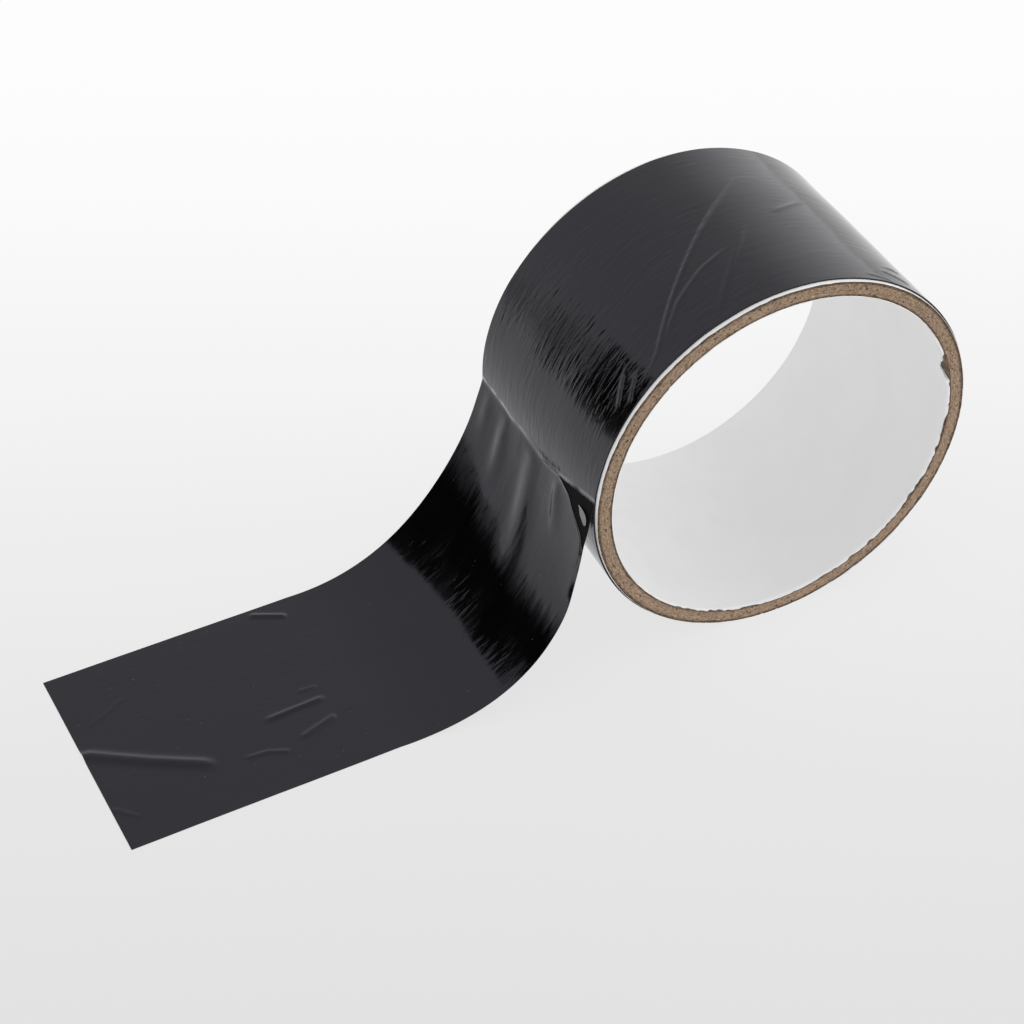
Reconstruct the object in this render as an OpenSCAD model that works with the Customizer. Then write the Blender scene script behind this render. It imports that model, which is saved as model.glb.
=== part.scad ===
// A nearly used up roll of black duct tape, standing on its rim.
// The core's axis runs along Y and the origin is the middle of the bore.
// The free end of the tape leaves the roll on the -X side and lies flat on the surface below.

/* [Core] */
// Inside diameter of the paper core
bore_d = 76.2; // [70:0.1:80]
// Length of the core along its axis
core_len = 51.5; // [51.5:0.5:60]
// Thickness of the white inner ply
liner_t = 0.2; // [0.1:0.05:0.4]
// Thickness of one kraft ply
ply_t = 0.53; // [0.3:0.01:0.8]
// Thickness of the white outer ply
cover_t = 0.08; // [0.06:0.01:0.2]

/* [Tape] */
// Width of the tape
tape_w = 50; // [40:0.5:50]
// Bare core between the tape and the core's near end
near_margin = 0.85; // [0.3:0.05:1.5]
// Thickness of the adhesive
adhesive_t = 0.06; // [0.05:0.01:0.12]
// Thickness of the cloth scrim
scrim_t = 0.04; // [0.04:0.01:0.1]
// Thickness of the plastic backing
backing_t = 0.07; // [0.05:0.01:0.12]

/* [Free strip] */
// Distance from the roll's axis to the cut end
reach = 143; // [125:1:200]
// How far the cut end lies towards the near side
drift = 6.5; // [0:0.5:10]
// Turn of the flat part towards the near side, in degrees
turn = 3; // [0:0.5:5]
// Angle on the roll where the near edge lifts off, from the -X side upwards, in degrees
near_lift = -3; // [-3:0.5:3]
// Angle on the roll where the far edge lifts off, in degrees
far_lift = 3; // [-3:0.5:3]
// Distance from the roll's axis to where the near edge meets the surface
near_landing = 85; // [80:1:95]
// Distance from the roll's axis to where the far edge meets the surface
far_landing = 90; // [80:1:95]

/* [Hidden] */

bore_r = bore_d / 2;
ply_count = 6;
kraft_r = bore_r + liner_t;
cover_r = kraft_r + ply_count * ply_t;
core_r = cover_r + cover_t;
tape_t = adhesive_t + scrim_t + backing_t;
wrap_count = 2;
roll_r = core_r + wrap_count * tape_t;
tape_near_y = -core_len / 2 + near_margin;

// The strip starts on the roll, this far above the -X side, and clears it by the gap.
start_angle = 8;
roll_gap = 0.1;
// Lengths of the handles that set the near and the far edge's S-bend.
fall_handle = 8;
near_floor_handle = 38;
far_floor_handle = 35;
// Lean of the strip from vertical where it lifts off, in degrees.
fall_lean = 10;
roll_steps = 5;
fall_steps = 26;

// Directions along and across the flat part, and the two corners of the cut end.
along = [cos(turn), sin(turn)];
across = [-sin(turn), cos(turn)];
end_middle = [-reach, -drift];
near_corner = end_middle - across * tape_w / 2;
far_corner = end_middle + across * tape_w / 2;

function smooth(u) = u * u * (3 - 2 * u);
function bezier(p, u) =
    pow(1 - u, 3) * p[0] + 3 * pow(1 - u, 2) * u * p[1] + 3 * (1 - u) * u * u * p[2] + pow(u, 3) * p[3];
function bezier_slope(p, u) =
    3 * pow(1 - u, 2) * (p[1] - p[0]) + 6 * (1 - u) * u * (p[2] - p[1]) + 3 * u * u * (p[3] - p[2]);
function unit(v) = v / norm(v);

// A point on the roll's -X side, in X and Z, at an angle above the horizontal.
function on_roll(angle) = (roll_r + roll_gap) * [-cos(angle), sin(angle)];
// The fall from the roll to the surface, as the four points of a curve in X and Z.
function fall(lift, landing, floor_handle) = [
    on_roll(lift),
    on_roll(lift) - fall_handle * [sin(fall_lean), cos(fall_lean)],
    [-landing + floor_handle, -roll_r],
    [-landing, -roll_r]
];
// Y of an edge of the flat part at a given X.
function flat_y(corner, x) = corner.y + (x - corner.x) * along.y / along.x;
// The tape's outward side for a heading: away from the roll, and up on the surface.
function outward(heading) = [heading.y, -heading.x];
function raised(spot, heading, height) = spot + height * outward(unit(heading));
function at_y(xz, y) = [xz.x, y, xz.y];

// One edge of the strip from the roll to the cut end, at a height above its sticky side.
function edge(lift, landing, floor_handle, corner, roll_y, height) =
    let (curve = fall(lift, landing, floor_handle), floor_y = flat_y(corner, -landing))
    concat(
        [for (i = [0 : roll_steps - 1])
            let (angle = start_angle + (lift - start_angle) * i / roll_steps)
            at_y(raised(on_roll(angle), [-sin(angle), -cos(angle)], height), roll_y)],
        [for (i = [0 : fall_steps])
            let (u = i / fall_steps)
            at_y(
                raised(bezier(curve, u), bezier_slope(curve, u), height),
                roll_y + (floor_y - roll_y) * smooth(u)
            )],
        [[corner.x, corner.y, -roll_r + height]]
    );
function near_edge(height) =
    edge(near_lift, near_landing, near_floor_handle, near_corner, tape_near_y, height);
function far_edge(height) =
    edge(far_lift, far_landing, far_floor_handle, far_corner, tape_near_y + tape_w, height);

// A ring around the core's axis, from one radius to another and from one Y to another.
module ring(inner_r, outer_r, near_y, far_y) {
    translate([0, near_y, 0])
        rotate([-90, 0, 0])
            rotate_extrude($fn = 180)
                translate([inner_r, 0])
                    square([outer_r - inner_r, far_y - near_y]);
}

module core_ring(inner_r, thickness) {
    ring(inner_r, inner_r + thickness, -core_len / 2, core_len / 2);
}

module tape_ring(wrap, height, thickness) {
    inner_r = core_r + (wrap - 1) * tape_t + height;
    ring(inner_r, inner_r + thickness, tape_near_y, tape_near_y + tape_w);
}

// One layer of the free strip, between two heights above its sticky side.
module strip_layer(low, high) {
    rows = [near_edge(low), far_edge(low), far_edge(high), near_edge(high)];
    count = len(rows[0]);
    points = [for (i = [0 : count - 1]) for (row = rows) row[i]];
    sides = [for (i = [0 : count - 2]) for (k = [0 : 3])
        let (
            this = 4 * i + k,
            next = 4 * i + (k + 1) % 4,
            // The lower and the upper face share one diagonal, so stacked layers meet exactly.
            flip = k == 2
        )
        each flip
            ? [[this, next + 4, next], [this, this + 4, next + 4]]
            : [[this, this + 4, next], [next, this + 4, next + 4]]];
    last = 4 * (count - 1);
    caps = [[0, 1, 2], [0, 2, 3], [last, last + 2, last + 1], [last, last + 3, last + 2]];
    polyhedron(points, concat(sides, caps));
}

module core_liner() { color("gainsboro") core_ring(bore_r, liner_t); }
module core_ply(number) { color("tan") core_ring(kraft_r + (number - 1) * ply_t, ply_t); }
module core_cover() { color("whitesmoke") core_ring(cover_r, cover_t); }

module wrap_adhesive(wrap) { color("dimgray") tape_ring(wrap, 0, adhesive_t); }
module wrap_scrim(wrap) { color("darkgray") tape_ring(wrap, adhesive_t, scrim_t); }
module wrap_backing(wrap) { color([0.1, 0.1, 0.11]) tape_ring(wrap, adhesive_t + scrim_t, backing_t); }

module strip_adhesive() { color("dimgray") strip_layer(0, adhesive_t); }
module strip_scrim() { color("darkgray") strip_layer(adhesive_t, adhesive_t + scrim_t); }
module strip_backing() { color([0.1, 0.1, 0.11]) strip_layer(adhesive_t + scrim_t, tape_t); }

core_liner();
core_ply(1);  // core_ply_1
core_ply(2);  // core_ply_2
core_ply(3);  // core_ply_3
core_ply(4);  // core_ply_4
core_ply(5);  // core_ply_5
core_ply(6);  // core_ply_6
core_cover();
wrap_adhesive(1);  // wrap_1_adhesive
wrap_scrim(1);  // wrap_1_scrim
wrap_backing(1);  // wrap_1_backing
wrap_adhesive(2);  // wrap_2_adhesive
wrap_scrim(2);  // wrap_2_scrim
wrap_backing(2);  // wrap_2_backing
strip_adhesive();
strip_scrim();
strip_backing();
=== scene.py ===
import math

import bpy
import numpy as np
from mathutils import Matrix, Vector


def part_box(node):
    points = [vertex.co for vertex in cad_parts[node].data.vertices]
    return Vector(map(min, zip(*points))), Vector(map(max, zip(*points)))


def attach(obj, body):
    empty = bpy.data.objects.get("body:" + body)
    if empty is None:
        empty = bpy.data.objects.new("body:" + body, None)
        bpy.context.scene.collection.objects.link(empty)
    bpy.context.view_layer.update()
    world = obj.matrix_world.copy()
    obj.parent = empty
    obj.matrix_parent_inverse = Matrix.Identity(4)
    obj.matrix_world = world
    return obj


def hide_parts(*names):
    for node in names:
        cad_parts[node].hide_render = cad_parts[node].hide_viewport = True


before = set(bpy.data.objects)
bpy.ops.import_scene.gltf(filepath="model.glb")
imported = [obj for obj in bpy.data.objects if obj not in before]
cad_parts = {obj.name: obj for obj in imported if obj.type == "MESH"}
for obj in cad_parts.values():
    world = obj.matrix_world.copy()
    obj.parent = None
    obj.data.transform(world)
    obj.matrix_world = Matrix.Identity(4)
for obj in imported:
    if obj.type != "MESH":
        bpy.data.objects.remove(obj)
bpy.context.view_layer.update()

# Shapes are worked out in millimetres and go into meshes in metres.
MM = 0.001


def outer_radius(node):
    """A ring node's outer radius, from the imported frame."""
    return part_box(node)[1][0] / MM


# The roll's radii and the places of its edges along Y.
LINER_T = 0.2
BORE_R = outer_radius("core_liner") - LINER_T
KRAFT_R = outer_radius("core_liner")
COVER_R = outer_radius("core_ply_6")
CORE_R = outer_radius("core_cover")
ROLL_R = outer_radius("wrap_2_backing")
CORE_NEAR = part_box("core_liner")[0][1] / MM
CORE_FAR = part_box("core_liner")[1][1] / MM
TAPE_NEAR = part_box("wrap_2_backing")[0][1] / MM
TAPE_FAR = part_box("wrap_2_backing")[1][1] / MM
TAPE_W = TAPE_FAR - TAPE_NEAR
GLUE_T = outer_radius("wrap_1_adhesive") - CORE_R
CLOTH_T = outer_radius("wrap_1_scrim") - outer_radius("wrap_1_adhesive")
FILM_T = outer_radius("wrap_1_backing") - outer_radius("wrap_1_scrim")
TAPE_T = GLUE_T + CLOTH_T + FILM_T
FLOOR_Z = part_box("strip_adhesive")[0][2] / MM

# The torn notch in the liner at the near cut face: from, to and deepest angle, and depth.
NOTCH_FROM = math.radians(11.8)
NOTCH_TO = math.radians(23.0)
NOTCH_MIDDLE = math.radians(14.7)
NOTCH_DEPTH = 2.8

# The free end's route, as the CAD has it. Pairs are for the near and the far edge.
TURN = math.radians(3)
END_MIDDLE = np.array([-143.0, -6.5])
LANDING = (85.0, 90.0)
FLOOR_HANDLE = (38.0, 35.0)
FALL_HANDLE = 8.0
FALL_LEAN = math.radians(12)
ALONG = np.array([math.cos(TURN), math.sin(TURN)])
ACROSS = np.array([-math.sin(TURN), math.cos(TURN)])


# Numbers that repeat on every run.

PRIMES = np.array([73856093, 19349663, 83492791], dtype=np.int64)


def lattice(cells, seed):
    """A fixed number from -1 to 1 for each cell of a grid."""
    mixed = (cells * PRIMES).sum(axis=-1) + seed * 7919
    mixed = (mixed ^ (mixed >> 13)) * 1274126177
    mixed = mixed ^ (mixed >> 16)
    return (mixed & 0xFFFF) / 32767.5 - 1


def noise(points, cell, seed):
    """Smooth noise from -1 to 1 at each point, for cells of a size along X, Y and Z."""
    spot = points / np.array(cell, dtype=float)
    low = np.floor(spot)
    part = spot - low
    part = part * part * (3 - 2 * part)
    low = low.astype(np.int64)
    total = np.zeros(points.shape[:-1])
    for corner in range(8):
        step = np.array([corner & 1, corner >> 1 & 1, corner >> 2 & 1])
        weight = np.where(step == 1, part, 1 - part).prod(axis=-1)
        total += weight * lattice(low + step, seed)
    return total


def smooth(t):
    """0 below 0, 1 above 1 and an S-curve between."""
    t = np.clip(t, 0, 1)
    return t * t * (3 - 2 * t)


def grid3(x, y, z):
    """One grid of points from three grids of coordinates."""
    x, y, z = np.broadcast_arrays(x, y, z)
    return np.stack([x, y, z], axis=-1).astype(float)


# Meshes.

# Edges with a greater angle than this between their faces are shaded sharp.
SHARP_ANGLE = math.radians(35)


def make_piece(name, points, faces, material, body, slot, nodes):
    """A smooth mesh piece that rides on a body and stands for CAD nodes."""
    mesh = bpy.data.meshes.new(name)
    mesh.from_pydata((points * MM).tolist(), [], faces.tolist())
    mesh.update()
    mesh.shade_smooth()
    mesh.set_sharp_from_angle(angle=SHARP_ANGLE)
    mesh.materials.append(material)
    piece = bpy.data.objects.new(name, mesh)
    bpy.context.scene.collection.objects.link(piece)
    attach(piece, body)
    if nodes:
        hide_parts(*nodes)
    return piece


def quads(a, b, c, d):
    """Four-cornered faces from four grids of point numbers."""
    return np.stack([a, b, c, d], axis=-1).reshape(-1, 4)


def leaf_faces(rows, columns, under_columns, closed):
    """The faces of a thin closed leaf between two grids of points, top first."""
    top = np.arange(rows * columns).reshape(rows, columns)
    under = np.arange(rows * under_columns).reshape(rows, under_columns) + rows * columns
    if closed:
        top = np.concatenate([top, top[:1]])
        under = np.concatenate([under, under[:1]])
    faces = [
        quads(top[:-1, :-1], top[:-1, 1:], top[1:, 1:], top[1:, :-1]),
        quads(under[:-1, :-1], under[1:, :-1], under[1:, 1:], under[:-1, 1:]),
        quads(top[:-1, 0], top[1:, 0], under[1:, 0], under[:-1, 0]),
        quads(top[:-1, -1], under[:-1, -1], under[1:, -1], top[1:, -1]),
    ]
    if not closed:
        faces.append(quads(top[0, :-1], under[0, :-1], under[0, 1:], top[0, 1:]))
        faces.append(quads(top[-1, :-1], top[-1, 1:], under[-1, 1:], under[-1, :-1]))
    return np.concatenate(faces)


def leaf(name, top, under, closed, *facts):
    """A thin closed piece between two grids of points. Only a ring's under side may be coarser."""
    rows, columns = top.shape[:2]
    points = np.concatenate([top.reshape(-1, 3), under.reshape(-1, 3)])
    return make_piece(name, points, leaf_faces(rows, columns, under.shape[1], closed), *facts)


def graded(*spans):
    """Rising places, from spans given as start, end and the step between places."""
    parts = [np.linspace(a, b, round((b - a) / step), endpoint=False) for a, b, step in spans]
    return np.concatenate(parts + [[spans[-1][1]]])


def mark_stretch_and_painted_highlight(piece, top):
    """Gives a leaf's points their values of wear and painted highlight, which only its top has."""
    values = np.zeros(len(piece.data.vertices), dtype=np.float32)
    values[:top.size] = np.clip(top, 0, 1).ravel()
    piece.data.attributes.new(STRETCH_AND_PAINTED_HIGHLIGHT, "FLOAT", "POINT").data.foreach_set("value", values)


def turned(radius, y, angle):
    """Points at a radius and an angle about the core's axis, measured from +X towards +Z."""
    return grid3(radius * np.cos(angle), y, radius * np.sin(angle))


# Materials.


def put(tree, kind, settings=None, **inputs):
    """A shader node with its settings and its inputs, which are values or other nodes' outputs."""
    made = tree.nodes.new(kind)
    for key, value in (settings or {}).items():
        setattr(made, key, value)
    for key, value in inputs.items():
        socket = made.inputs[int(key[1:])] if key[1:].isdigit() else made.inputs[key.replace("_", " ")]
        if isinstance(value, bpy.types.NodeSocket):
            tree.links.new(value, socket)
        else:
            socket.default_value = value
    return made


def calc(tree, operation, first, second=0.0):
    """The result of a sum on values or outputs."""
    return put(tree, "ShaderNodeMath", {"operation": operation}, _0=first, _1=second).outputs[0]


def new_material(name):
    """An empty node material with its output node, and the object's own coordinates."""
    material = bpy.data.materials.new(name)
    material.use_nodes = True
    tree = material.node_tree
    tree.nodes.clear()
    place = put(tree, "ShaderNodeTexCoord").outputs["Object"]
    return material, tree, place


def grain(tree, place, cell, detail=2.0, rough=0.5):
    """Noise with cells of a size in millimetres along X, Y and Z."""
    scale = tuple(1 / (size * MM) for size in cell)
    spot = put(tree, "ShaderNodeMapping", Vector=place, Scale=scale).outputs["Vector"]
    made = put(tree, "ShaderNodeTexNoise", Vector=spot, Scale=1.0, Detail=detail, Roughness=rough)
    return made.outputs["Fac"]


def spread(tree, value, low, high, to_low, to_high):
    """A value moved from one range to another, held at the ends."""
    made = put(
        tree, "ShaderNodeMapRange", {"interpolation_type": "SMOOTHSTEP"},
        Value=value, From_Min=low, From_Max=high, To_Min=to_low, To_Max=to_high,
    )
    return made.outputs["Result"]


def mixed(tree, factor, first, second):
    """A colour between two colours."""
    made = put(tree, "ShaderNodeMix", {"data_type": "RGBA"}, _0=factor, _6=first, _7=second)
    return made.outputs[2]


def bump(tree, height, depth, below=None):
    """A normal raised by a height from 0 to 1 that is worth a depth in millimetres."""
    made = put(tree, "ShaderNodeBump", Height=height, Strength=1.0, Distance=depth * MM)
    if below is not None:
        tree.links.new(below, made.inputs["Normal"])
    return made.outputs["Normal"]


def surface(tree, **inputs):
    """The principled shader, joined to the material's output."""
    shader = put(tree, "ShaderNodeBsdfPrincipled", **inputs)
    put(tree, "ShaderNodeOutputMaterial", Surface=shader.outputs["BSDF"])


# The name of the points' values, from 0 to 1, that say where the film is paler: partly where it is worn
# and stretched, partly a painted highlight.
STRETCH_AND_PAINTED_HIGHLIGHT = "worn"
# The film's drawn lines are calmer towards the roll's right: from and to what X, and by how much.
CALM_FROM = -24
CALM_TO = 4
CALM_SHARE = 0.4


def film_material(name, drawn):
    """Glossy black film with drawn lines of a depth in millimetres, paler where it is worn and where a
    highlight is painted.
    """
    material, tree, place = new_material(name)
    streak = grain(tree, place, (4, 0.85, 4), 1.5)
    fine = grain(tree, place, (2.5, 0.16, 2.5), 2.0)
    cloud = grain(tree, place, (9, 6, 9), 2.0)
    dust = grain(tree, place, (0.5, 0.5, 0.5), 0.0)
    speck = spread(tree, dust, 0.87, 0.90, 0.0, 1.0)
    colour = mixed(tree, speck, (0.0016, 0.0016, 0.0017, 1), (0.08, 0.08, 0.085, 1))
    # Painted highlight: this value turns the film pale along the peel line, the torn edge, the fold
    # crests and the scrap, partly from real stretching.
    worn = put(tree, "ShaderNodeAttribute", {"attribute_name": STRETCH_AND_PAINTED_HIGHLIGHT}).outputs["Fac"]
    colour = mixed(tree, worn, colour, (0.30, 0.30, 0.32, 1))
    cluster = spread(tree, grain(tree, place, (12, 5, 12), 1.0), 0.38, 0.62, 0.4, 1.0)
    spot = put(tree, "ShaderNodeSeparateXYZ", Vector=place)
    calmer = spread(tree, spot.outputs["X"], CALM_FROM * MM, CALM_TO * MM, 1.0, CALM_SHARE)
    streak = calc(tree, "SUBTRACT", streak, 0.5)
    for share in (cluster, calmer):
        streak = calc(tree, "MULTIPLY", streak, share)
    relief = bump(tree, streak, drawn)
    relief = bump(tree, fine, 0.003, relief)
    surface(
        tree, Base_Color=colour, Roughness=spread(tree, cloud, 0.3, 0.7, 0.07, 0.12),
        IOR=1.5, Specular_Tint=(0.86, 0.84, 1.0, 1), Normal=relief,
    )
    return material


def glue_material():
    """Dark tacky adhesive with the print of the cloth in it."""
    material, tree, place = new_material("adhesive")
    patch = grain(tree, place, (4, 4, 4), 3.0)
    pits = grain(tree, place, (0.5, 0.5, 0.5), 2.0)
    colour = mixed(tree, patch, (0.010, 0.010, 0.011, 1), (0.028, 0.028, 0.029, 1))
    surface(
        tree, Base_Color=colour, Roughness=spread(tree, pits, 0.3, 0.7, 0.45, 0.75),
        Normal=bump(tree, pits, 0.05),
    )
    return material


# How far apart the scrim's threads are, in millimetres.
THREAD_STEP = 0.9


def cloth_material():
    """Scrim soaked in the adhesive: dark, dull threads, near black partly from the adhesive and partly as
    painted shade where the torn film bares it.
    """
    material, tree, place = new_material("scrim")
    spot = put(tree, "ShaderNodeSeparateXYZ", Vector=place)
    turns = math.tau / (THREAD_STEP * MM)
    warp = calc(tree, "SINE", calc(tree, "MULTIPLY", spot.outputs["Y"], turns))
    along = calc(tree, "ADD", spot.outputs["X"], spot.outputs["Z"])
    weft = calc(tree, "SINE", calc(tree, "MULTIPLY", along, turns))
    weave = calc(tree, "MAXIMUM", warp, weft)
    # Painted shade: the threads are near black, partly the soaked scrim's own colour, to stand for the
    # shaded gap under the torn film.
    colour = mixed(
        tree, spread(tree, weave, 0.2, 1, 0, 1), (0.003, 0.003, 0.003, 1), (0.008, 0.008, 0.008, 1)
    )
    surface(
        tree, Base_Color=colour, Roughness=0.9, Specular_IOR_Level=0.15,
        Normal=bump(tree, weave, 0.03),
    )
    return material


def painted_slit_shadow_mask(tree, spot, radius):
    """Where a painted shadow darkens a slit of the innermost kraft ply, along the edge of the liner's
    torn notch from its start to its deepest corner.
    """
    turn = calc(tree, "ARCTAN2", spot.outputs["Z"], spot.outputs["X"])
    turn = calc(tree, "SUBTRACT", turn, NOTCH_FROM)
    deep = calc(tree, "SUBTRACT", spot.outputs["Y"], CORE_NEAR * MM)
    line = calc(tree, "MULTIPLY", deep, (NOTCH_MIDDLE - NOTCH_FROM) / (NOTCH_DEPTH * MM))
    away = calc(tree, "MULTIPLY", calc(tree, "SUBTRACT", turn, line), KRAFT_R)
    mask = spread(tree, away, 0.50, 0.38, 0.0, 1.0)
    for value, clear, solid in (
        (away, -0.8, -0.6), (deep, (NOTCH_DEPTH + 0.6) * MM, (NOTCH_DEPTH + 0.3) * MM),
        (radius, (KRAFT_R + 0.06) * MM, (KRAFT_R + 0.03) * MM),
    ):
        mask = calc(tree, "MULTIPLY", mask, spread(tree, value, clear, solid, 0.0, 1.0))
    return mask


def kraft_material():
    """Cut kraft board: fibres that run round the core, pits, pale flecks, painted shade as dark lines
    along its edges by the cover and the liner, and a painted shadow slit in the liner's torn notch.
    """
    material, tree, place = new_material("kraft_board")
    spot = put(tree, "ShaderNodeSeparateXYZ", Vector=place)
    flat = put(tree, "ShaderNodeCombineXYZ", X=spot.outputs["X"], Y=0.0, Z=spot.outputs["Z"])
    radius = put(tree, "ShaderNodeVectorMath", {"operation": "LENGTH"}, _0=flat.outputs[0])
    round_spot = put(
        tree, "ShaderNodeCombineXYZ",
        X=spot.outputs["X"], Y=radius.outputs["Value"], Z=spot.outputs["Z"],
    ).outputs[0]
    fibre = grain(tree, round_spot, (0.8, 0.24, 0.8), 4.0, 0.7)
    layer = grain(tree, round_spot, (30, 0.3, 30), 1.0)
    patch = grain(tree, round_spot, (5, 1.5, 5), 2.0)
    fleck = grain(tree, place, (0.5, 0.5, 0.5), 1.0)
    colour = mixed(
        tree, spread(tree, fibre, 0.3, 0.7, 0, 1), (0.150, 0.095, 0.060, 1), (0.62, 0.455, 0.315, 1)
    )
    colour = mixed(tree, spread(tree, layer, 0.35, 0.65, 0, 0.35), colour, (0.27, 0.18, 0.12, 1))
    colour = mixed(tree, spread(tree, patch, 0.4, 0.7, 0, 0.35), colour, (0.46, 0.32, 0.24, 1))
    colour = mixed(tree, spread(tree, fleck, 0.72, 0.80, 0, 0.8), colour, (0.75, 0.68, 0.60, 1))
    colour = mixed(tree, spread(tree, fleck, 0.36, 0.28, 0, 0.9), colour, (0.035, 0.025, 0.018, 1))
    # Painted shade: dark lines on the board next to the cover and next to the liner, broken up by the
    # fibres.
    painted_edge_shade = spread(tree, fibre, 0.25, 0.6, 1.0, 0.6)
    for clear, solid in ((COVER_R - 0.85, COVER_R - 0.30), (KRAFT_R + 0.60, KRAFT_R + 0.15)):
        line = spread(tree, radius.outputs["Value"], clear * MM, solid * MM, 0.0, 1.0)
        line = calc(tree, "MULTIPLY", line, painted_edge_shade)
        colour = mixed(tree, line, colour, (0.035, 0.020, 0.013, 1))
    # Painted shadow: a near-black slit on the innermost ply along the liner's torn notch, where the
    # lifted liner edge shades it.
    painted_slit_shadow = painted_slit_shadow_mask(tree, spot, radius.outputs["Value"])
    colour = mixed(tree, painted_slit_shadow, colour, (0.004, 0.003, 0.003, 1))
    surface(
        tree, Base_Color=colour, Roughness=0.92, Specular_IOR_Level=0.2,
        Normal=bump(tree, fibre, 0.10),
    )
    return material


def paper_material(name, tone):
    """White paper with faint mottling and fibres, and a painted highlight that whitens it at its near cut
    face.
    """
    material, tree, place = new_material(name)
    cloud = grain(tree, place, (9, 9, 9), 3.0)
    fibre = grain(tree, place, (1.2, 0.35, 1.2), 3.0)
    colour = mixed(
        tree, spread(tree, cloud, 0.3, 0.7, 0, 1),
        (tone * 0.985, tone * 0.98, tone * 0.985, 1), (tone, tone, tone, 1),
    )
    spot = put(tree, "ShaderNodeSeparateXYZ", Vector=place)
    # Painted highlight: the paper turns pure white on its near cut face, fading out over the first
    # millimetre inside.
    painted_face_highlight = spread(tree, spot.outputs["Y"], (CORE_NEAR + 0.9) * MM, (CORE_NEAR + 0.2) * MM, 0.0, 0.9)
    colour = mixed(tree, painted_face_highlight, colour, (1.0, 1.0, 1.0, 1))
    surface(
        tree, Base_Color=colour, Roughness=0.75, Specular_IOR_Level=0.3,
        Normal=bump(tree, fibre, 0.012),
    )
    return material


ROLL_FILM = film_material("black_film", 0.085)
FREE_FILM = film_material("black_film_free", 0.034)
GLUE = glue_material()
CLOTH = cloth_material()
KRAFT = kraft_material()
LINER = paper_material("liner_paper", 0.90)
COVER = paper_material("cover_paper", 0.97)


# The core.

AROUND = 720
ANGLES = np.arange(AROUND) * math.tau / AROUND


def ring(name, radii, profile, *facts):
    """A closed ring. The profile gives each angle's loop of radii and Y places."""
    radius, y = profile(ANGLES[:, None], radii)
    columns = radius.shape[1]
    points = turned(radius, y, ANGLES[:, None]).reshape(-1, 3)
    number = np.arange(AROUND * columns).reshape(AROUND, columns)
    ahead = np.roll(number, -1, axis=0)
    beside = np.roll(number, -1, axis=1)
    corner = np.roll(ahead, -1, axis=1)
    return make_piece(name, points, quads(number, ahead, corner, beside), *facts)


def loop(inner, outer, across, along):
    """A ring section's loop: 0 to 1 from inner to outer radius and from near to far face."""
    step = np.linspace(0, 1, across + 1)[:-1]
    length = np.linspace(0, 1, along + 1)[:-1]
    out = np.concatenate([step, np.ones(along), 1 - step, np.zeros(along)])
    deep = np.concatenate([np.zeros(across), length, np.ones(across), 1 - length])
    return inner + out * (outer - inner), deep


def cut_face(angle, radius, side):
    """How far the sawn board stands out or in at a place on a cut face, in millimetres."""
    spot = grid3(radius * np.cos(angle), radius, radius * np.sin(angle))
    fibres = 0.035 * noise(spot, (1.4, 0.25, 1.4), 11 + side)
    waves = 0.05 * noise(spot, (9, 9, 9), 17 + side)
    pits = 0.28 * smooth((noise(spot, (0.9, 0.5, 0.9), 23 + side) - 0.62) / 0.2)
    return fibres + waves + pits


def ply_profile(angle, radii):
    """A kraft ply: rough on its cut faces and smooth where it lies on its neighbours."""
    radius, deep = loop(*radii, 3, 5)
    radius = radius + 0 * angle
    y = CORE_NEAR + deep * (CORE_FAR - CORE_NEAR) + 0 * angle
    y = y + np.where(deep == 0, cut_face(angle, radius, 0), 0)
    y = y - np.where(deep == 1, cut_face(angle, radius, 1), 0)
    return radius, y


# The liner's spiral joint, as places (Y, angle from +X in degrees) on the bore.
SEAM_Y = np.array([-25.75, -19.4, -11.8, -6.6, 3.7, 12.9, 25.75])
SEAM_ANGLE = np.radians([12.0, -1.1, -14.9, -28.1, -60.5, -91.3, -135.0])
SEAM_STEP = 0.07
# The radii at which the near edges of the liner and the cover take their unevenness, in millimetres.
LINER_EDGE_R = 38
COVER_EDGE_R = 41


def torn_edge(wound):
    """How far in the liner's torn and burred near edge lies, for angles from -pi to pi."""
    up = np.clip((wound - NOTCH_FROM) / (NOTCH_MIDDLE - NOTCH_FROM), 0, 1)
    down = np.clip((NOTCH_TO - wound) / (NOTCH_TO - NOTCH_MIDDLE), 0, 1)
    notch = NOTCH_DEPTH * np.minimum(up, down)
    spot = grid3(LINER_EDGE_R * np.cos(wound), 0, LINER_EDGE_R * np.sin(wound))
    burr = 0.30 * noise(spot, (1.1, 1, 1.1), 31) + 0.30 * noise(spot, (3.2, 1, 3.2), 32)
    worn = 0.35 + 0.65 * smooth((math.cos(2.0) - np.cos(wound + 0.9)) / -0.8)
    return notch + np.maximum(burr * worn, -0.12)


def seam_step(wound, y):
    """How far the liner stands in beside its spiral joint."""
    away = (wound - np.interp(y, SEAM_Y, SEAM_ANGLE)) * BORE_R
    away = np.where(away > math.pi * BORE_R, away - math.tau * BORE_R, away)
    away = np.where(away < -math.pi * BORE_R, away + math.tau * BORE_R, away)
    return SEAM_STEP * smooth((away + 0.3) / 0.6) * smooth((14 - away) / 12)


def liner_profile(angle, radii):
    """The white inner ply, with its joint's step, its torn notch and its burred near edge."""
    radius, deep = loop(*radii, 2, 90)
    wound = (angle + math.pi) % math.tau - math.pi
    start = CORE_NEAR + torn_edge(wound)
    y = start + deep * (CORE_FAR - start)
    lifted = 0.45 * np.exp(-((wound - NOTCH_FROM) * BORE_R / 1.2) ** 2)
    lifted = lifted * np.exp(-(y - CORE_NEAR) / 3.0)
    inside = radius < (radii[0] + radii[1]) / 2
    return radius - (seam_step(wound, y) + lifted) * inside, y


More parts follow.
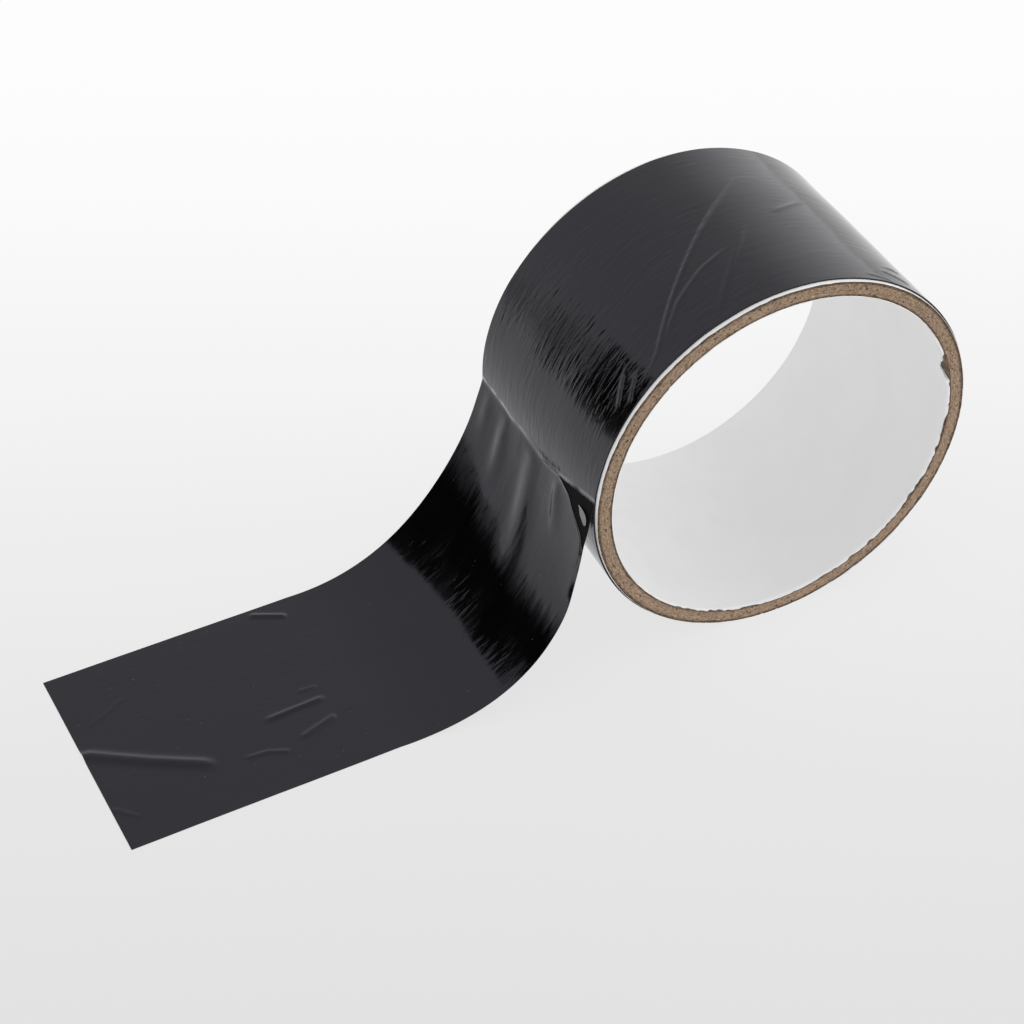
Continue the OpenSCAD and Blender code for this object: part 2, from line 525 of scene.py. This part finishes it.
def cover_profile(angle, radii):
    """The white outer ply, with a slightly uneven near edge."""
    radius, deep = loop(*radii, 2, 24)
    spot = grid3(COVER_EDGE_R * np.cos(angle), 0, COVER_EDGE_R * np.sin(angle))
    edge = 0.10 * noise(spot, (1.5, 1, 1.5), 41) + 0.10 * noise(spot, (6, 1, 6), 42)
    y = CORE_NEAR + edge + deep * (CORE_FAR - CORE_NEAR - edge)
    return radius + 0 * angle, y


ring(
    "liner", (BORE_R, KRAFT_R), liner_profile,
    LINER, "roll", "liner_paper", ["core_liner"],
)
inner = KRAFT_R
for number in range(1, 7):
    node = f"core_ply_{number}"
    outer = outer_radius(node)
    ring(
        f"kraft_ply_{number}", (inner, outer), ply_profile,
        KRAFT, "roll", "kraft_board", [node],
    )
    inner = outer
ring(
    "cover", (COVER_R, CORE_R), cover_profile,
    COVER, "roll", "cover_paper", ["core_cover"],
)


# Creases: raised lines given as points across the tape and along it, in millimetres.


def crease(across, along, line, width, height, tip=0.25):
    """The height of a raised line that tapers to nothing over a share of its length at each end."""
    line = np.array(line, dtype=float)
    spans = np.linalg.norm(np.diff(line, axis=0), axis=1)
    total = spans.sum()
    best = np.full(np.shape(across), 1e9)
    share = np.zeros(np.shape(across))
    start = 0.0
    for first, second, span in zip(line[:-1], line[1:], spans):
        way = (second - first) / span
        out = np.clip((across - first[0]) * way[0] + (along - first[1]) * way[1], 0, span)
        away = np.hypot(across - first[0] - out * way[0], along - first[1] - out * way[1])
        nearer = away < best
        best = np.where(nearer, away, best)
        share = np.where(nearer, (start + out) / total, share)
        start += span
    taper = smooth(share / tip) * smooth((1 - share) / tip)
    return height * taper * np.exp(-((best / width) ** 2))


# The wound tape. Angles on the roll are in degrees above the -X side.

# Each crease has its points (place across, angle), its width and its height.
ROLL_CREASES = (
    (
        [(13.1, 104), (12.4, 99), (-0.1, 79.5), (-5.9, 71), (-13, 60.3), (-20.5, 49.4), (-24.3, 39)],
        0.33, 0.29,
    ),
    ([(-7.2, 84), (-10.1, 72), (-14.1, 61.6), (-20, 52)], 0.33, 0.17),
    ([(-1.7, 92.4), (-11.7, 80.6), (-24.5, 66)], 0.6, 0.14),
    ([(4.8, 117.7), (-0.7, 100.3)], 0.6, 0.13),
    ([(-18.2, 123), (-17.7, 132)], 0.33, 0.20),
    ([(-20.4, 119), (-22.6, 131)], 0.33, 0.22),
    ([(-22.9, 112), (-24.4, 122)], 0.33, 0.18),
    ([(-16.8, 40.5), (-22.2, 30.5)], 0.45, 0.12),
    ([(-19.6, 42.5), (-24.0, 34.5)], 0.40, 0.10),
)
# Creases narrower than this are sharp enough to stretch the film.
SHARP_CREASE = 0.5
# Where the wound film has its rows, in degrees around, and the number of its columns across.
ROLL_SPOTS = graded((-12, 8, 0.32), (8, 32, 0.8), (32, 134, 0.46), (134, 348, 1.3))[:-1]
ROLL_COLUMNS = 188

# How far the last turn has come off the one below at its far edge, and between what angles.
SLACK = 0.8
SLACK_FROM = -30
SLACK_TO = 60.0

# The line where the tape leaves the roll: places across the tape, and angles above the -X side.
PEEL_Y = np.array([-24.9, -20.3, -14.8, -10.6, -6.5, -3.2, 1.4, 6.7, 11.7, 14.8, 19.0, 25.1])
PEEL_ANGLE = np.array([4.6, 2.9, 0.6, -0.9, -2.6, -3.2, -2.8, -2.3, -3.0, -2.2, -1.9, -1.6])


def slack(y, degrees):
    """How far the last turn stands off the turn below."""
    share = (y - TAPE_NEAR) / TAPE_W
    grown = smooth((degrees - SLACK_FROM) / 25)
    return SLACK * share * smooth((SLACK_TO - degrees) / SLACK_TO) * grown


def wound_place(angle, y):
    """The length along the wound film above the -X side, and the distance above the peel line."""
    degrees = (180 - np.degrees(angle)) % 360
    degrees = np.where(degrees > 300, degrees - 360, degrees)
    above = (degrees - np.interp(y, PEEL_Y, PEEL_ANGLE)) * math.radians(ROLL_R)
    return np.radians(degrees) * ROLL_R, above


def rolled(line):
    """A crease on the roll with its angles as lengths along the film."""
    return [(across, math.radians(place) * ROLL_R) for across, place in line]


def wound_relief(angle, y):
    """The height of the wound film over a true cylinder."""
    along, above = wound_place(angle, y)
    spot = turned(ROLL_R, y, angle)
    total = 0.010 * noise(spot, (9, 0.8, 9), 51)
    total = total + 0.006 * noise(spot, (4, 0.45, 4), 52)
    total = total + 0.07 * noise(spot, (16, 9, 16), 53)
    total = total + 0.03 * np.exp(-(((above - 0.5) / 0.35) ** 2))
    for line, width, height in ROLL_CREASES:
        total = total + crease(y, along, rolled(line), width, height)
    return total


def wound_stretch_and_painted_highlight(angle, y):
    """Where the wound film is stretched and has a painted highlight: along the peel line and on its
    creases.
    """
    along, above = wound_place(angle, y)
    # Painted highlight: a pale band just above the peel line, partly stretched film.
    uneven = 0.65 + 0.6 * noise(grid3(0, y, 0), (1, 2.2, 1), 54)
    strength = 0.8 + 0.5 * (y - TAPE_NEAR) / TAPE_W
    total = strength * uneven * np.exp(-(((above - 0.3) / 0.5) ** 2))
    # Pale lines on the sharp creases: stretched film and painted highlight.
    for line, width, _ in ROLL_CREASES:
        if width < SHARP_CREASE:
            total = total + 0.10 * crease(y, along, rolled(line), 0.25, 1.0)
    return total


def wrap(name, inner, outer, facing, last, *facts):
    """One turn of one layer of the tape. The facing layer shows, and the last turn has slack."""
    degrees = ROLL_SPOTS if facing else np.arange(360)
    angle = np.radians(180 - degrees)[::-1, None]
    share = np.linspace(0, 1, ROLL_COLUMNS if facing else 12)[None, :]
    edge = grid3(ROLL_R * np.cos(angle), 0, ROLL_R * np.sin(angle))
    start = TAPE_NEAR + 0.06 * noise(edge, (5, 1, 5), 61)
    end = TAPE_FAR + 0.06 * noise(edge, (5, 1, 5), 62)
    y = start + share * (end - start)
    off = slack(y, degrees[::-1, None] + 0 * y) if last else 0 * y
    raised = wound_relief(angle, y) if facing else 0
    top = turned(outer + off + raised, y, angle)
    under = turned(inner + off, y, angle)[:, [0, -1]] if facing else turned(inner + off, y, angle)
    piece = leaf(name, top, under, True, *facts)
    if facing:
        mark_stretch_and_painted_highlight(piece, wound_stretch_and_painted_highlight(angle, y))
    return piece


inner = CORE_R
layers = (("adhesive", GLUE), ("scrim", CLOTH), ("backing", ROLL_FILM))
for turn in (1, 2):
    for layer, material in layers:
        node = f"wrap_{turn}_{layer}"
        outer = outer_radius(node)
        wrap(
            f"turn_{turn}_{layer}", inner, outer, turn == 2 and layer == "backing", turn == 2,
            material, "roll", layer, [node],
        )
        inner = outer


# The free end.

# The even line that the peel line wavers about, as a curve fitted to it.
EVEN_PEEL = np.polyfit(PEEL_Y, PEEL_ANGLE, 2)
# How far the bend is pressed in and drawn out sideways below the peel line, at the near and far edge,
# between what lengths down the tape, and over what lengths that grows and fades.
PRESSED = (0.55, -0.4)
DRAWN = (-0.8, 0.4)
BEND_FROM = 6
BEND_TO = 66
BEND_IN = 24
BEND_OUT = 34
# How many points the middle line has on its fall and on the floor.
FALL_SPOTS = 300
FLAT_SPOTS = 200
# The film is torn from the near edge to TORN_TO along that line, and has slipped down by TORN_DROP.
TORN_TO = -9.8
TORN_Y = np.array([-24.9, -22.9, -17.9, -15.4, -12.0, -9.8])
TORN_DROP = np.array([11.0, 8.5, 4.5, 2.2, 0.7, 0.0])
# Where the film has slipped down by more than this, its edge is a torn one.
TORN_MIN = 0.3


def outwards(points):
    """Unit normals of a path that runs down and away, in the XZ plane."""
    way = np.gradient(points, axis=0)
    outward = np.stack([way[:, 2], 0 * way[:, 2], -way[:, 0]], axis=-1)
    return outward / np.linalg.norm(outward, axis=-1, keepdims=True)


def lengths(points):
    """The length along a path up to each of its points."""
    return np.concatenate([[0], np.linalg.norm(np.diff(points, axis=0), axis=1).cumsum()])


def between(pair, share):
    """A value between the near edge's and the far edge's."""
    return pair[0] + share * (pair[1] - pair[0])


def fall_line(y, landing, handle, u):
    """The curve from the roll down to the floor, in the XZ plane, for shares u of it."""
    lift = math.radians(np.interp(y, PEEL_Y, PEEL_ANGLE))
    radius = ROLL_R + slack(y, math.degrees(lift))
    start = radius * np.array([-math.cos(lift), math.sin(lift)])
    even = math.radians(np.polyval(EVEN_PEEL, y))
    fall = radius * np.array([-math.cos(even), math.sin(even)])
    fall = fall - FALL_HANDLE * np.array([math.sin(FALL_LEAN), math.cos(FALL_LEAN)])
    curve = np.array([start, fall, (-landing + handle, FLOOR_Z), (-landing, FLOOR_Z)])
    upper = (1 - u) ** 3 * curve[0] + 3 * (1 - u) ** 2 * u * curve[1]
    return upper + 3 * (1 - u) * u**2 * curve[2] + u**3 * curve[3]


def path(y):
    """The free end's middle line at a place across the tape, as points, outward normals and lengths."""
    share = (y - TAPE_NEAR) / TAPE_W
    landing = between(LANDING, share)
    u = np.linspace(0, 1, FALL_SPOTS)[:, None]
    xz = fall_line(y, landing, between(FLOOR_HANDLE, share), u)
    corner = END_MIDDLE + ACROSS * (share - 0.5) * TAPE_W
    floor_y = corner[1] + (-landing - corner[0]) * ALONG[1] / ALONG[0]
    line_y = y + (floor_y - y) * smooth(u[:, 0])
    v = np.linspace(0, 1, FLAT_SPOTS)[1:]
    fallen = np.stack([xz[:, 0], line_y, xz[:, 1]], axis=-1)
    flat = np.stack([
        -landing + v * (corner[0] + landing), floor_y + v * (corner[1] - floor_y), FLOOR_Z + 0 * v,
    ], axis=-1)
    points = np.concatenate([fallen, flat])
    length = lengths(points)
    bent = smooth((length - BEND_FROM) / BEND_IN) * smooth((BEND_TO - length) / BEND_OUT)
    points = points - outwards(points) * (between(PRESSED, share) * bent)[:, None]
    points[:, 1] += between(DRAWN, share) * bent
    return points, outwards(points), lengths(points)


# Folds that fan down from the peel line: places across at the top and lower down, length,
# the far and the near flank's width at the top, and height.
FANS = (
    (21.3, 20.5, 11, 1.8, 2.2, 0.26),
    (13.4, 12.4, 16, 1.8, 2.4, 0.52),
    (2.1, -2.6, 25, 2.6, 3.4, 0.60),
    (-9.4, -12.4, 12, 1.2, 2.0, 0.32),
)
# How stretched a fold is along its crest, and how strong the painted highlight there is, for each
# millimetre of its height.
FOLD_STRETCH_AND_PAINTED_HIGHLIGHT = 0.36
# The torn near edge curls outwards a little: how far, from what place across, and over what lengths.
CURL = 0.35
CURL_FROM = -18.0
CURL_LENGTHS = (6, 26)

# Creases in the flat part, as places from the near edge and distances from the cut end, with each
# crease's width and height.
FLAT_CREASES = (
    ([(27.8, -4.0), (26.4, 1.4), (19.6, 11.3), (12.1, 23.7)], 1.25, 0.60),
    ([(11.5, 27.7), (11.0, 32.8), (8.9, 37.2)], 0.6, 0.24),
    ([(19.0, 35.1), (19.5, 49.5)], 0.62, 0.36),
    ([(23.4, 44.6), (23.0, 48.9)], 0.5, 0.15),
    ([(11.2, 39.8), (14.0, 49.2)], 0.65, 0.30),
    ([(48.6, 44.5), (44.6, 52.0)], 0.62, 0.40),
    ([(11.5, 0.0), (6.6, 4.8)], 0.6, 0.16),
    ([(33.6, 3.4), (38.5, 13.7)], 0.5, 0.08),
)


def fan_place(y, s, fan):
    """Where a place is on a fold, as a share of its length and flank widths from its crest."""
    top, low, length, far_side, near_side, _ = fan
    share = s / length
    middle = top + (low - top) * share
    wide = np.where(y > middle, far_side, near_side) * (0.85 + 0.3 * share)
    return share, (y - middle) / wide


def free_relief(y, s, from_end, spot):
    """How far the free end stands out from its smooth path, in millimetres."""
    total = 0.006 * noise(spot, (5, 0.9, 5), 71) + 0.010 * noise(spot, (2.2, 1.1, 2.2), 72)
    total = total + 0.05 * noise(spot, (14, 8, 14), 73) * smooth(s / 8)
    for fan in FANS:
        share, away = fan_place(y, s, fan)
        rise = (0.35 + 0.65 * smooth(share / 0.5)) * smooth((1.2 - share) / 0.7)
        total = total + fan[-1] * rise * np.exp(-(away**2))
    curl = (np.clip(CURL_FROM - y, 0, None) / (CURL_FROM - TAPE_NEAR)) ** 2
    curl = curl * smooth((s - CURL_LENGTHS[0]) / 5)
    total = total + CURL * curl * smooth((CURL_LENGTHS[1] - s) / 8)
    across = y - TAPE_NEAR
    for line, width, height in FLAT_CREASES:
        total = total + crease(across, from_end, line, width, height, 0.14)
    return total


def free_stretch_and_painted_highlight(y, s, start):
    """Where the free film is stretched and has painted highlights: at the peel line, along the torn edge
    and on the folds.
    """
    # Painted highlight: a pale rim along the torn edge, and a pale band at the peel line where the film
    # is whole.
    edge = 0.6 * np.exp(-(s - start) / 0.22)
    total = np.where(start > TORN_MIN, edge, 0.4 * np.exp(-((s / 0.4) ** 2)))
    # Pale lines along the fold crests: stretched film and painted highlight.
    for fan in FANS:
        share, away = fan_place(y, s, fan)
        line = np.exp(-(((away - 0.15) / 0.55) ** 2))
        line = line * smooth(share / 0.15) * smooth((1.0 - share) / 0.6)
        total = total + FOLD_STRETCH_AND_PAINTED_HIGHLIGHT * fan[-1] * line
    return total


# Where the free end has its rows, as shares of its length, and the number of its columns.
FREE_ROWS = graded((0, 0.2, 0.0026), (0.2, 0.56, 0.0085), (0.56, 1, 0.0029))
FREE_COLUMNS = 160
# The free end is let into the roll's last turn by its thickness, down to this length.
SUNK_TO = 6
# How far the torn edge stands up, and how far the whole free end lies off its path, in millimetres.
FLARE = 0.13
CLEAR = 0.012


def free_start(y, torn):
    """The length down the tape at which a layer starts: ragged under the film that is torn off."""
    if y >= TORN_TO:
        return 0.0
    if torn:
        return np.interp(y, TORN_Y, TORN_DROP)
    return 0.35 + 0.3 * noise(np.array([y, 0, 0]), (0.8, 1, 1), 81)


def free_layer(torn):
    """The free end's surface: points of its sticky side, outward normals, and where it is worn and has
    painted highlights.
    """
    ys = np.linspace(TAPE_NEAR, TAPE_FAR, FREE_COLUMNS)
    rows = len(FREE_ROWS)
    point = np.zeros((rows, FREE_COLUMNS, 3))
    normal = np.zeros((rows, FREE_COLUMNS, 3))
    s = np.zeros((rows, FREE_COLUMNS))
    from_end = np.zeros((rows, FREE_COLUMNS))
    for column, y in enumerate(ys):
        points, outward, length = path(y)
        start = free_start(y, torn)
        spots = start + (length[-1] - start) * FREE_ROWS
        for axis in range(3):
            point[:, column, axis] = np.interp(spots, length, points[:, axis])
            normal[:, column, axis] = np.interp(spots, length, outward[:, axis])
        s[:, column] = spots
        from_end[:, column] = length[-1] - spots
    normal /= np.linalg.norm(normal, axis=-1, keepdims=True)
    raised = free_relief(ys[None, :] + 0 * s, s, from_end, point)
    start = s[:1]
    sunk = TAPE_T * (1 - smooth(s / SUNK_TO))
    flare = np.where(start > TORN_MIN, FLARE * np.exp(-(s - start) / 0.6), 0.0) if torn else 0.0
    point = point + normal * (raised * smooth(s / 2.6) + flare - sunk + CLEAR)[..., None]
    point[..., 2] = np.maximum(point[..., 2], FLOOR_Z)
    return point, normal, free_stretch_and_painted_highlight(ys[None, :] + 0 * s, s, start)


def free_leaf(name, base, low, high, *facts):
    """One layer of the free end, between two heights over its sticky side."""
    point, normal, _ = base
    top = point + normal * high
    under = point + normal * low
    return leaf(name, top, under, False, *facts)


whole = free_layer(False)
torn_film = free_layer(True)
free_glue = free_leaf(
    "free_adhesive", whole, 0, GLUE_T, GLUE, "free_strip", "adhesive", ["strip_adhesive"]
)
free_cloth = free_leaf(
    "free_scrim", whole, GLUE_T, GLUE_T + CLOTH_T, CLOTH, "free_strip", "scrim", ["strip_scrim"]
)
free_film = free_leaf(
    "free_film", torn_film, GLUE_T + CLOTH_T, TAPE_T, FREE_FILM, "free_strip", "backing",
    ["strip_backing"],
)


# A narrow scrap of film that stayed on the adhesive where the film tore: its ends, as places across
# the tape and lengths down it, its greatest half width, how far its middle stands up, its slope, and
# how pale it is, from stretching and from a painted highlight.
SCRAP = ((-20.0, 2.6), (-23.9, 5.9))
SCRAP_HALF = 1.6
SCRAP_RISE = 0.05
SCRAP_LEAN = 0.20
SCRAP_STRETCH_AND_PAINTED_HIGHLIGHT = 1.0
SCRAP_ROWS = 24
SCRAP_COLUMNS = 9


def add_scrap():
    """The scrap of film, which is drawn out to half the film's thickness."""
    first, second = np.array(SCRAP)
    way = (second - first) / np.linalg.norm(second - first)
    side = np.array([-way[1], way[0]])
    point = np.zeros((SCRAP_ROWS, SCRAP_COLUMNS, 3))
    normal = np.zeros((SCRAP_ROWS, SCRAP_COLUMNS, 3))
    for row, share in enumerate(np.linspace(0.02, 0.98, SCRAP_ROWS)):
        half = SCRAP_HALF * math.sin(math.pi * share**1.5) ** 0.7
        for column, part in enumerate(np.linspace(-1, 1, SCRAP_COLUMNS)):
            y, s = first + (second - first) * share + side * half * part
            points, outward, length = path(y)
            at = [np.interp(s, length, points[:, axis]) for axis in range(3)]
            normal[row, column] = [np.interp(s, length, outward[:, axis]) for axis in range(3)]
            rise = TAPE_T + 0.1 + SCRAP_RISE * (1 - part**2) + SCRAP_LEAN * half * part
            point[row, column] = np.array(at) + normal[row, column] * rise
    return leaf(
        "film_scrap", point + normal * FILM_T * 0.5, point, False, FREE_FILM, "free_strip", "backing", []
    )


scrap = add_scrap()
# The scrap is made fully pale: a painted highlight on the stretched film.
mark_stretch_and_painted_highlight(scrap, np.full((SCRAP_ROWS, SCRAP_COLUMNS), SCRAP_STRETCH_AND_PAINTED_HIGHLIGHT))
mark_stretch_and_painted_highlight(free_film, torn_film[2])


# The floor, the lights and the camera.

# The camera's angles round and above the point that it looks at, its distance from it in metres, that
# point, and the lens in millimetres.
AZIMUTH = math.radians(-24.95)
ELEVATION = math.radians(41.18)
DISTANCE = 0.5141
AIM = Vector((-0.0354, 0.0263, FLOOR_Z * MM))
LENS = 81.9


def add_camera():
    """The camera at the photograph's angle."""
    data = bpy.data.cameras.new("camera")
    data.lens = LENS
    data.sensor_width = 36
    data.clip_start = 0.01
    camera = bpy.data.objects.new("camera", data)
    back = Vector((
        math.sin(AZIMUTH) * math.cos(ELEVATION),
        -math.cos(AZIMUTH) * math.cos(ELEVATION),
        math.sin(ELEVATION),
    ))
    camera.location = AIM + back * DISTANCE
    camera.rotation_euler = (math.pi / 2 - ELEVATION, 0, AZIMUTH)
    bpy.context.scene.collection.objects.link(camera)
    bpy.context.scene.camera = camera


def stage_plane(name, corners, material):
    """A flat piece of the studio."""
    mesh = bpy.data.meshes.new(name)
    mesh.from_pydata(corners, [], [tuple(range(len(corners)))])
    mesh.materials.append(material)
    plane = bpy.data.objects.new(name, mesh)
    bpy.context.scene.collection.objects.link(plane)
    return plane


def along_way(tree, place, way):
    """How far a place lies along a direction."""
    made = put(tree, "ShaderNodeVectorMath", {"operation": "DOT_PRODUCT"}, _0=place, _1=tuple(way))
    return made.outputs["Value"]


def floor_material():
    """A pale lit floor that is a little brighter away from the camera."""
    material, tree, place = new_material("floor")
    depth = along_way(tree, place, (-math.sin(AZIMUTH), math.cos(AZIMUTH), 0))
    glow = spread(tree, depth, -0.20, 0.22, 0.66, 0.90)
    light = put(tree, "ShaderNodeEmission", Strength=glow)
    matt = put(tree, "ShaderNodeBsdfDiffuse", Color=(0.1, 0.1, 0.1, 1))
    both = put(tree, "ShaderNodeAddShader", _0=light.outputs[0], _1=matt.outputs[0])
    put(tree, "ShaderNodeOutputMaterial", Surface=both.outputs[0])
    return material


# The directions from the roll to the black card, and sideways along the card.
CARD_OUT = Vector((-0.69, 0.72, 0)).normalized()
CARD_SIDE = Vector((0.72, 0.69, 0)).normalized()

# The card's lower edge fades in from clear to solid, in metres. It does so over the heights of
# CARD_FADE, on a slant that rises to the right by CARD_SLANT for each metre, and right of the places
# of CARD_SPLIT also over the level heights of CARD_LEVEL.
CARD_SLANT = 0.75
CARD_FADE = (0.010, 0.076)
CARD_SPLIT = (-0.063, -0.059)
CARD_LEVEL = (-0.03, -0.012)


def card_material():
    """A black card whose lower edge fades away, on a slant at the left and level at the right."""
    material, tree, place = new_material("card")
    height = along_way(tree, place, Vector((0, 0, 1)) - CARD_SIDE * CARD_SLANT)
    solid = spread(tree, height, *CARD_FADE, 0.0, 1.0)
    right = spread(tree, along_way(tree, place, CARD_SIDE), *CARD_SPLIT, 0.0, 1.0)
    level = put(tree, "ShaderNodeSeparateXYZ", Vector=place).outputs["Z"]
    low = spread(tree, level, *CARD_LEVEL, 0.0, 1.0)
    solid = calc(tree, "MAXIMUM", solid, calc(tree, "MULTIPLY", right, low))
    clear = put(tree, "ShaderNodeBsdfTransparent")
    dark = put(tree, "ShaderNodeEmission", Color=(0, 0, 0, 1))
    both = put(tree, "ShaderNodeMixShader", _0=solid, _1=clear.outputs[0], _2=dark.outputs[0])
    put(tree, "ShaderNodeOutputMaterial", Surface=both.outputs[0])
    return material


# The black card that the gloss shows: how far off it stands, and its outline, sideways and up, in metres.
CARD_AWAY = 0.260
CARD_OUTLINE = (
    (-0.040, -0.041), (-0.041, 0.060), (-0.037, 0.095), (-0.028, 0.118), (-0.034, 0.130),
    (-0.046, 0.143), (-0.057, 0.133), (-0.068, 0.118), (-0.080, 0.099), (-0.092, 0.077),
    (-0.150, 0.060), (-0.150, -0.041),
)
# Narrow slats beside it: place sideways, width, and lower and upper end.
CARD_SLATS = (
    (-0.0345, 0.0022, -0.012, 0.098), (-0.0285, 0.0018, -0.004, 0.092), (-0.0220, 0.0015, -0.008, 0.078),
    (-0.0150, 0.0012, 0.004, 0.066), (-0.0085, 0.0010, 0.000, 0.052),
)


def surround():
    """A bright surround, dimmer in front and brighter at the right and behind."""
    world = bpy.data.worlds.new("surround")
    world.use_nodes = True
    tree = world.node_tree
    tree.nodes.clear()
    way = put(tree, "ShaderNodeTexCoord").outputs["Generated"]
    way = put(tree, "ShaderNodeSeparateXYZ", Vector=way)
    back = spread(tree, way.outputs["Y"], -0.2, 0.5, 0.84, 1.02)
    side = spread(tree, way.outputs["X"], 0.25, 0.75, 0.0, 0.7)
    light = put(tree, "ShaderNodeBackground", Strength=calc(tree, "ADD", back, side))
    put(tree, "ShaderNodeOutputWorld", Surface=light.outputs[0])
    bpy.context.scene.world = world


def add_card(name, outline, material):
    """A flat upright shape that only the gloss shows, from its outline sideways and up."""
    corners = [CARD_OUT * CARD_AWAY + CARD_SIDE * w + Vector((0, 0, h)) for w, h in outline]
    card = stage_plane(name, corners, material)
    card.visible_camera = False
    card.visible_diffuse = False
    card.visible_shadow = False


def add_studio():
    """The floor, the bright surround, and the black card with its slats."""
    size = 4.0
    z = FLOOR_Z * MM
    stage_plane(
        "floor", [(-size, -size, z), (size, -size, z), (size, size, z), (-size, size, z)],
        floor_material(),
    )
    black = card_material()
    add_card("black_card", CARD_OUTLINE, black)
    for number, (middle, width, low, high) in enumerate(CARD_SLATS):
        left, right = middle - width / 2, middle + width / 2
        add_card(f"black_slat_{number}", ((left, low), (right, low), (right, high), (left, high)), black)
    surround()
    bpy.context.scene.view_settings.view_transform = "Standard"


add_studio()
add_camera()
